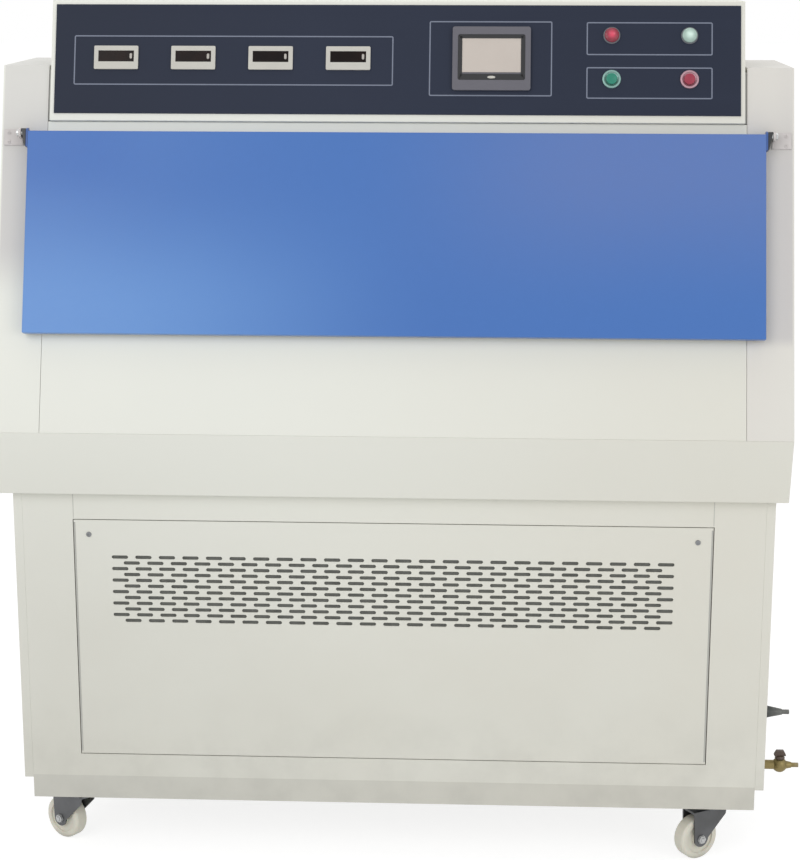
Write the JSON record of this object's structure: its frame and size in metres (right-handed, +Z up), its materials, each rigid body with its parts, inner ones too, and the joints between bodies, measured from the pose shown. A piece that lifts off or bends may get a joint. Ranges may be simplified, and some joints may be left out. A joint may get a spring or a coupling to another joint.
{
  "type": "uv weathering test chamber",
  "caption": "UV weathering test chamber: sloping lamp cabinet with swing-up doors, tilted control face and specimen racks on a vented base with swivel casters.",
  "frame": {"origin": "on the floor under the middle of the cabinet", "axes": "+X to the viewer's right, +Y to the back, +Z up"},
  "size_m": [1.4, 0.62, 1.4466],
  "materials": {
    "powder_coat": "fine-grained powder coat",
    "frame_steel": "painted steel tube",
    "stainless": "brushed stainless sheet",
    "zinc": "zinc-plated steel",
    "navy_plate": "satin dark blue",
    "door_blue": "gloss blue",
    "counter_grey": "moulded light grey",
    "screen_grey": "moulded grey",
    "display": "dark display window",
    "red_lens": "ribbed lens",
    "white_lens": "ribbed lens",
    "chrome_ring": "polished ring",
    "green_cap": "moulded cap",
    "red_cap": "moulded cap",
    "white_key": "moulded key",
    "seal_rubber": "extruded seal",
    "uv_glass": "clear tube glass",
    "socket_white": "moulded sockets and end caps",
    "aluminium": "satin aluminium",
    "specimen_paint": "painted test panels",
    "galvanised": "galvanised sheet",
    "device_grey": "moulded devices on a painted plate",
    "tank_plastic": "translucent white tank",
    "dark_plastic": "moulded black plastic",
    "brass": "plain brass",
    "brown_lever": "dipped lever",
    "wheel_cream": "cream nylon"
  },
  "bodies": {
    "cabinet": {"base_frame": "frame_steel", "base_pan": "powder_coat", "front_frame": "powder_coat", "rear_frame": "powder_coat", "side_covers": "powder_coat", "service_panel": "powder_coat", "rear_panel": "powder_coat", "panel_screws": "zinc", "belly_tray": "powder_coat", "cheek_left": "powder_coat", "cheek_right": "powder_coat", "front_fascia": "powder_coat", "rear_fascia": "powder_coat", "control_box": "powder_coat", "control_plate": "navy_plate", "counters": "counter_grey", "display_windows": "display", "screen_bezel": "screen_grey", "red_lamp": "red_lens", "white_lamp": "white_lens", "button_rings": "chrome_ring", "hinge_brackets": "chrome_ring", "door_seals": "seal_rubber", "chamber_liner": "stainless", "water_pan": "stainless", "pan_heater": "stainless", "uv_tubes": "uv_glass", "lamp_sockets": "socket_white", "specimen_racks": "stainless", "specimen_holders": "aluminium", "specimens": "specimen_paint", "blower_housing": "galvanised", "electrical_plate": "device_grey", "water_tank": "tank_plastic", "spray_pipe": "stainless", "hose_inlet": "dark_plastic", "drain_valve": "brass", "mains_entry": "dark_plastic", "caster_plates": "zinc"},
    "front_door": {"front_door": "door_blue", "front_door_lining": "stainless"},
    "rear_door": {"rear_door": "door_blue", "rear_door_lining": "stainless"},
    "green_button": {"green_button": "green_cap"},
    "red_button": {"red_button": "red_cap"},
    "counter_key_1": {"counter_key_1": "white_key"},
    "counter_key_2": {"counter_key_2": "white_key"},
    "counter_key_3": {"counter_key_3": "white_key"},
    "counter_key_4": {"counter_key_4": "white_key"},
    "drain_lever": {"drain_lever": "brown_lever"},
    "isolator_knob": {"isolator_knob": "red_cap"},
    "blower_wheel": {"blower_wheel": "galvanised"},
    "fork_front_left": {"fork_front_left": "zinc"},
    "fork_front_right": {"fork_front_right": "zinc"},
    "fork_rear_left": {"fork_rear_left": "zinc"},
    "fork_rear_right": {"fork_rear_right": "zinc"},
    "wheel_front_left": {"wheel_front_left": "wheel_cream"},
    "wheel_front_right": {"wheel_front_right": "wheel_cream"},
    "wheel_rear_left": {"wheel_rear_left": "wheel_cream"},
    "wheel_rear_right": {"wheel_rear_right": "wheel_cream"}
  },
  "joints": [
    {"name": "front_door_hinge", "type": "hinge", "parent": "cabinet", "child": "front_door", "pos_m": [0, -0.17066, 1.23415], "axis": [-1, 0, 0], "range_deg": [0, 100]},
    {"name": "rear_door_hinge", "type": "hinge", "parent": "cabinet", "child": "rear_door", "pos_m": [0, 0.17066, 1.23415], "axis": [1, 0, 0], "range_deg": [0, 100]},
    {"name": "green_button_press", "type": "slide", "parent": "cabinet", "child": "green_button", "axis": [0, 0.9511, -0.309], "range_m": [0, 0.003], "stiffness_N_per_m": 400, "springref_m": -0.002},
    {"name": "red_button_press", "type": "slide", "parent": "cabinet", "child": "red_button", "axis": [0, 0.9511, -0.309], "range_m": [0, 0.003], "stiffness_N_per_m": 400, "springref_m": -0.002},
    {"name": "counter_key_1_press", "type": "slide", "parent": "cabinet", "child": "counter_key_1", "axis": [0, 0.9511, -0.309], "range_m": [0, 0.0012], "stiffness_N_per_m": 300, "springref_m": -0.001},
    {"name": "counter_key_2_press", "type": "slide", "parent": "cabinet", "child": "counter_key_2", "axis": [0, 0.9511, -0.309], "range_m": [0, 0.0012], "stiffness_N_per_m": 300, "springref_m": -0.001},
    {"name": "counter_key_3_press", "type": "slide", "parent": "cabinet", "child": "counter_key_3", "axis": [0, 0.9511, -0.309], "range_m": [0, 0.0012], "stiffness_N_per_m": 300, "springref_m": -0.001},
    {"name": "counter_key_4_press", "type": "slide", "parent": "cabinet", "child": "counter_key_4", "axis": [0, 0.9511, -0.309], "range_m": [0, 0.0012], "stiffness_N_per_m": 300, "springref_m": -0.001},
    {"name": "drain_lever_turn", "type": "hinge", "parent": "cabinet", "child": "drain_lever", "pos_m": [0.668, -0.19, 0.157], "axis": [0, 0, 1], "range_deg": [0, 90]},
    {"name": "isolator_turn", "type": "hinge", "parent": "cabinet", "child": "isolator_knob", "pos_m": [-0.66, 0.11, 0.5], "axis": [-1, 0, 0], "range_deg": [0, 90]},
    {"name": "blower_spin", "type": "hinge", "parent": "cabinet", "child": "blower_wheel", "pos_m": [0.507, -0.06, 0.706], "axis": [1, 0, 0], "continuous": true},
    {"name": "swivel_front_left", "type": "hinge", "parent": "cabinet", "child": "fork_front_left", "pos_m": [-0.551, -0.208, 0.088], "axis": [0, 0, 1], "continuous": true},
    {"name": "roll_front_left", "type": "hinge", "parent": "fork_front_left", "child": "wheel_front_left", "pos_m": [-0.57753, -0.19011, 0.0375], "axis": [-0.5592, -0.829, 0], "continuous": true},
    {"name": "swivel_front_right", "type": "hinge", "parent": "cabinet", "child": "fork_front_right", "pos_m": [0.551, -0.208, 0.088], "axis": [0, 0, 1], "continuous": true},
    {"name": "roll_front_right", "type": "hinge", "parent": "fork_front_right", "child": "wheel_front_right", "pos_m": [0.52386, -0.22496, 0.0375], "axis": [0.5299, -0.848, 0], "continuous": true},
    {"name": "swivel_rear_left", "type": "hinge", "parent": "cabinet", "child": "fork_rear_left", "pos_m": [-0.551, 0.208, 0.088], "axis": [0, 0, 1], "continuous": true},
    {"name": "roll_rear_left", "type": "hinge", "parent": "fork_rear_left", "child": "wheel_rear_left", "pos_m": [-0.54272, 0.23891, 0.0375], "axis": [-0.9659, 0.2588, 0], "continuous": true},
    {"name": "swivel_rear_right", "type": "hinge", "parent": "cabinet", "child": "fork_rear_right", "pos_m": [0.551, 0.208, 0.088], "axis": [0, 0, 1], "continuous": true},
    {"name": "roll_rear_right", "type": "hinge", "parent": "fork_rear_right", "child": "wheel_rear_right", "pos_m": [0.535, 0.23571, 0.0375], "axis": [-0.866, -0.5, 0], "continuous": true}
  ]
}
